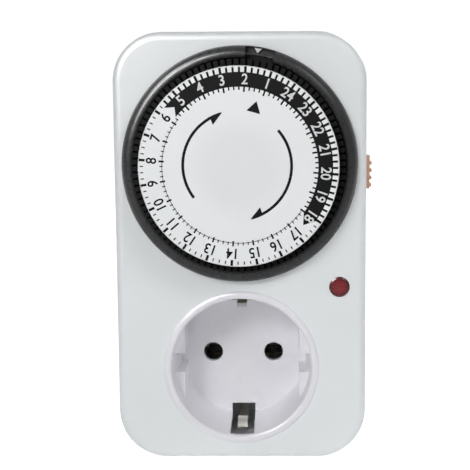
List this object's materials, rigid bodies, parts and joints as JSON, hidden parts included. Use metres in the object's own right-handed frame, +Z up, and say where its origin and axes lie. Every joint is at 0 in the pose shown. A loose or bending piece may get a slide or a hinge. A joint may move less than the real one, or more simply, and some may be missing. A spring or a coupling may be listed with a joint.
{
  "type": "plug-in timer switch",
  "caption": "Plug-in timer switch: pale housing with a round dial of press-down tappets in a black bezel, an earthed socket in front and a round two-pin plug behind.",
  "frame": {"origin": "centre of the plug's face, on the plug and socket axis, in the plane that the pins stand on", "axes": "+Z up, the front with dial and socket faces -Y, the pins point to +Y"},
  "size_m": [0.076, 0.079, 0.127],
  "materials": {
    "housing": "satin moulded",
    "bezel": "gloss",
    "print_white": "printed",
    "dial_face": "satin, printed scale",
    "dial_black": "satin moulded",
    "steel": "zinc plated",
    "gear_plastic": "moulded",
    "plate_brass": "stamped",
    "motor_can": "drawn can",
    "copper_wire": "enamelled winding",
    "magnet": "dull",
    "wire_sleeve": "insulation",
    "dark_plastic": "moulded",
    "lever_plastic": "moulded",
    "contact_brass": "stamped",
    "slider_orange": "ridged",
    "lens_red": "clear red",
    "lamp_glass": "clear",
    "resistor": "coated",
    "socket_plastic": "satin moulded",
    "earth_metal": "nickel plated",
    "pin_metal": "nickel plated"
  },
  "bodies": {
    "root": {"front_cover": "housing", "rear_cover": "housing", "housing_screws": "steel", "bezel_ring": "bezel", "time_marker": "print_white", "dial_axle": "steel", "front_plate": "plate_brass", "back_plate": "plate_brass", "movement_screws": "steel", "motor_housing": "motor_can", "motor_coil": "copper_wire", "motor_leads": "wire_sleeve", "switch_base": "dark_plastic", "trip_pin": "steel", "fixed_blade": "contact_brass", "indicator_lens": "lens_red", "neon_lamp": "lamp_glass", "neon_resistor": "resistor", "socket_insert": "socket_plastic", "live_contact": "contact_brass", "neutral_contact": "contact_brass", "earth_strap": "earth_metal", "plug_earth_contact": "earth_metal", "plug_pins": "pin_metal"},
    "dial": {"dial_plate": "dial_face", "dial_wheel": "dial_black", "dial_gear": "gear_plastic"},
    "tappets_h01": {"tappets_h01": "dial_black"},
    "tappets_h02": {"tappets_h02": "dial_black"},
    "tappets_h03": {"tappets_h03": "dial_black"},
    "tappets_h04": {"tappets_h04": "dial_black"},
    "tappets_h05": {"tappets_h05": "dial_black"},
    "tappets_h06": {"tappets_h06": "dial_black"},
    "tappets_h07": {"tappets_h07": "dial_black"},
    "tappets_h08": {"tappets_h08": "dial_black"},
    "tappets_h09": {"tappets_h09": "dial_black"},
    "tappets_h10": {"tappets_h10": "dial_black"},
    "tappets_h11": {"tappets_h11": "dial_black"},
    "tappets_h12": {"tappets_h12": "dial_black"},
    "tappets_h13": {"tappets_h13": "dial_black"},
    "tappets_h14": {"tappets_h14": "dial_black"},
    "tappets_h15": {"tappets_h15": "dial_black"},
    "tappets_h16": {"tappets_h16": "dial_black"},
    "tappets_h17": {"tappets_h17": "dial_black"},
    "tappets_h18": {"tappets_h18": "dial_black"},
    "tappets_h19": {"tappets_h19": "dial_black"},
    "tappets_h20": {"tappets_h20": "dial_black"},
    "tappets_h21": {"tappets_h21": "dial_black"},
    "tappets_h22": {"tappets_h22": "dial_black"},
    "tappets_h23": {"tappets_h23": "dial_black"},
    "tappets_h24": {"tappets_h24": "dial_black"},
    "motor_rotor": {"motor_rotor": "magnet"},
    "gear_1": {"gear_1": "gear_plastic"},
    "gear_2": {"gear_2": "gear_plastic"},
    "gear_3": {"gear_3": "gear_plastic"},
    "clutch_wheel": {"clutch_wheel": "gear_plastic"},
    "clutch_pinion": {"clutch_pinion": "steel"},
    "trip_lever": {"trip_lever": "lever_plastic"},
    "moving_blade": {"moving_blade": "contact_brass"},
    "override_slider": {"override_slider": "slider_orange"}
  },
  "joints": [
    {"name": "dial_turn", "type": "hinge", "parent": "root", "child": "dial", "pos_m": [0, -0.048, 0.0604], "axis": [0, 1, 0], "continuous": true},
    {"name": "tappets_h01_press", "type": "slide", "parent": "dial", "child": "tappets_h01", "axis": [0, 1, 0], "range_m": [0, 0.0025]},
    {"name": "tappets_h02_press", "type": "slide", "parent": "dial", "child": "tappets_h02", "axis": [0, 1, 0], "range_m": [0, 0.0025]},
    {"name": "tappets_h03_press", "type": "slide", "parent": "dial", "child": "tappets_h03", "axis": [0, 1, 0], "range_m": [0, 0.0025]},
    {"name": "tappets_h04_press", "type": "slide", "parent": "dial", "child": "tappets_h04", "axis": [0, 1, 0], "range_m": [0, 0.0025]},
    {"name": "tappets_h05_press", "type": "slide", "parent": "dial", "child": "tappets_h05", "axis": [0, 1, 0], "range_m": [0, 0.0025]},
    {"name": "tappets_h06_press", "type": "slide", "parent": "dial", "child": "tappets_h06", "axis": [0, 1, 0], "range_m": [0, 0.0025]},
    {"name": "tappets_h07_press", "type": "slide", "parent": "dial", "child": "tappets_h07", "axis": [0, 1, 0], "range_m": [0, 0.0025]},
    {"name": "tappets_h08_press", "type": "slide", "parent": "dial", "child": "tappets_h08", "axis": [0, 1, 0], "range_m": [0, 0.0025]},
    {"name": "tappets_h09_press", "type": "slide", "parent": "dial", "child": "tappets_h09", "axis": [0, 1, 0], "range_m": [0, 0.0025]},
    {"name": "tappets_h10_press", "type": "slide", "parent": "dial", "child": "tappets_h10", "axis": [0, 1, 0], "range_m": [0, 0.0025]},
    {"name": "tappets_h11_press", "type": "slide", "parent": "dial", "child": "tappets_h11", "axis": [0, 1, 0], "range_m": [0, 0.0025]},
    {"name": "tappets_h12_press", "type": "slide", "parent": "dial", "child": "tappets_h12", "axis": [0, 1, 0], "range_m": [0, 0.0025]},
    {"name": "tappets_h13_press", "type": "slide", "parent": "dial", "child": "tappets_h13", "axis": [0, 1, 0], "range_m": [0, 0.0025]},
    {"name": "tappets_h14_press", "type": "slide", "parent": "dial", "child": "tappets_h14", "axis": [0, 1, 0], "range_m": [0, 0.0025]},
    {"name": "tappets_h15_press", "type": "slide", "parent": "dial", "child": "tappets_h15", "axis": [0, 1, 0], "range_m": [0, 0.0025]},
    {"name": "tappets_h16_press", "type": "slide", "parent": "dial", "child": "tappets_h16", "axis": [0, 1, 0], "range_m": [0, 0.0025]},
    {"name": "tappets_h17_press", "type": "slide", "parent": "dial", "child": "tappets_h17", "axis": [0, 1, 0], "range_m": [0, 0.0025]},
    {"name": "tappets_h18_press", "type": "slide", "parent": "dial", "child": "tappets_h18", "axis": [0, 1, 0], "range_m": [0, 0.0025]},
    {"name": "tappets_h19_press", "type": "slide", "parent": "dial", "child": "tappets_h19", "axis": [0, 1, 0], "range_m": [0, 0.0025]},
    {"name": "tappets_h20_press", "type": "slide", "parent": "dial", "child": "tappets_h20", "axis": [0, 1, 0], "range_m": [0, 0.0025]},
    {"name": "tappets_h21_press", "type": "slide", "parent": "dial", "child": "tappets_h21", "axis": [0, 1, 0], "range_m": [0, 0.0025]},
    {"name": "tappets_h22_press", "type": "slide", "parent": "dial", "child": "tappets_h22", "axis": [0, 1, 0], "range_m": [0, 0.0025]},
    {"name": "tappets_h23_press", "type": "slide", "parent": "dial", "child": "tappets_h23", "axis": [0, 1, 0], "range_m": [0, 0.0025]},
    {"name": "tappets_h24_press", "type": "slide", "parent": "dial", "child": "tappets_h24", "axis": [0, 1, 0], "range_m": [0, 0.0025]},
    {"name": "clutch_pinion_spin", "type": "hinge", "parent": "root", "child": "clutch_pinion", "pos_m": [-0.01549, -0.042, 0.03828], "axis": [0, 1, 0], "continuous": true},
    {"name": "rotor_spin", "type": "hinge", "parent": "root", "child": "motor_rotor", "pos_m": [0.0019, -0.03, 0.07864], "axis": [0, 1, 0], "continuous": true},
    {"name": "gear_1_spin", "type": "hinge", "parent": "root", "child": "gear_1", "pos_m": [-0.01287, -0.036, 0.08124], "axis": [0, 1, 0], "continuous": true},
    {"name": "gear_2_spin", "type": "hinge", "parent": "root", "child": "gear_2", "pos_m": [-0.01802, -0.036, 0.06715], "axis": [0, 1, 0], "continuous": true},
    {"name": "gear_3_spin", "type": "hinge", "parent": "root", "child": "gear_3", "pos_m": [-0.02062, -0.036, 0.05238], "axis": [0, 1, 0], "continuous": true},
    {"name": "clutch_wheel_spin", "type": "hinge", "parent": "root", "child": "clutch_wheel", "pos_m": [-0.01549, -0.038, 0.03828], "axis": [0, 1, 0], "continuous": true},
    {"name": "trip_lever_turn", "type": "hinge", "parent": "root", "child": "trip_lever", "pos_m": [0.022, -0.0445, 0.08935], "axis": [0, 0, -1], "range_deg": [0, 8.5]},
    {"name": "moving_blade_turn", "type": "hinge", "parent": "root", "child": "moving_blade", "pos_m": [0.0242, -0.0424, 0.08935], "axis": [0, 0, -1], "range_deg": [0, 7.5]},
    {"name": "override_slide", "type": "slide", "parent": "root", "child": "override_slider", "axis": [0, 0, 1], "range_m": [0, 0.004]}
  ],
  "couplings": [
    {"joint": "clutch_pinion_spin", "follows": "dial_turn", "ratio": -8},
    {"joint": "gear_1_spin", "follows": "rotor_spin", "ratio": -0.25},
    {"joint": "gear_2_spin", "follows": "rotor_spin", "ratio": 0.0625},
    {"joint": "gear_3_spin", "follows": "rotor_spin", "ratio": -0.015625},
    {"joint": "clutch_wheel_spin", "follows": "rotor_spin", "ratio": 0.0039062},
    {"joint": "trip_lever_turn", "follows": "tappets_h02_press", "rad_per_m": 59.2},
    {"joint": "moving_blade_turn", "follows": "tappets_h02_press", "rad_per_m": 52}
  ]
}
